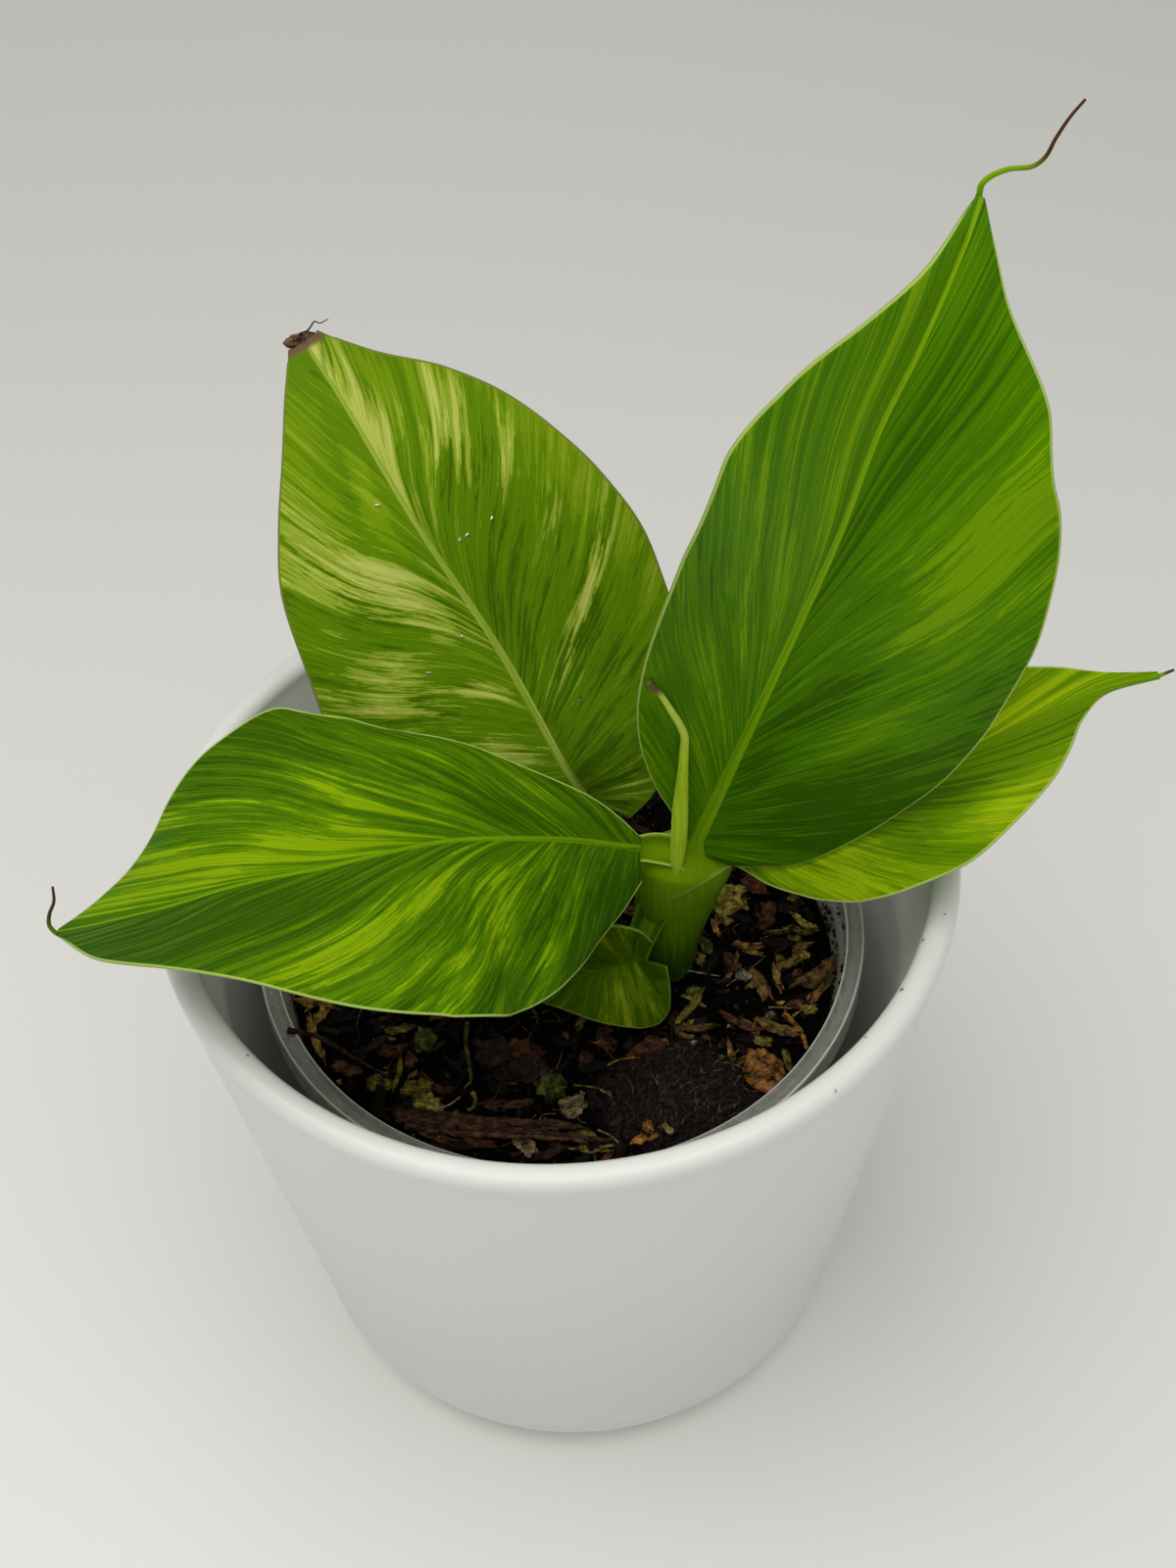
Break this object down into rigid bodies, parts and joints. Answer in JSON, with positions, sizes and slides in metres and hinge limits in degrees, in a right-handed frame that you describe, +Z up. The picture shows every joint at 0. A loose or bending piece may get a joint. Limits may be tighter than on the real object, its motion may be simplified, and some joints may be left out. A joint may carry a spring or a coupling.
{
  "type": "potted banana plant",
  "caption": "Young variegated banana plant with broad pointed leaves and a furled new leaf, growing in a clear nursery pot that stands inside a tapered round white planter.",
  "frame": {"origin": "middle of the planter's flat underside, on the surface that it stands on", "axes": "+Z up along the planter's axis, +X to the right and -Y towards the viewer as seen from the front"},
  "size_m": [0.1874, 0.14, 0.2512],
  "materials": {
    "planter": "satin",
    "nursery_pot": "gloss",
    "potting_mix": "matte",
    "pseudostem": "satin",
    "furled_leaf": "satin",
    "leaf_back_right": "satin",
    "leaf_back_left": "satin",
    "leaf_front_left": "satin",
    "leaf_right": "satin",
    "leaf_low": "satin"
  },
  "bodies": {
    "root": {"planter": "planter", "nursery_pot": "nursery_pot", "potting_mix": "potting_mix", "pseudostem": "pseudostem", "furled_leaf": "furled_leaf", "leaf_back_right": "leaf_back_right", "leaf_back_left": "leaf_back_left", "leaf_front_left": "leaf_front_left", "leaf_right": "leaf_right", "leaf_low": "leaf_low"}
  },
  "joints": []
}
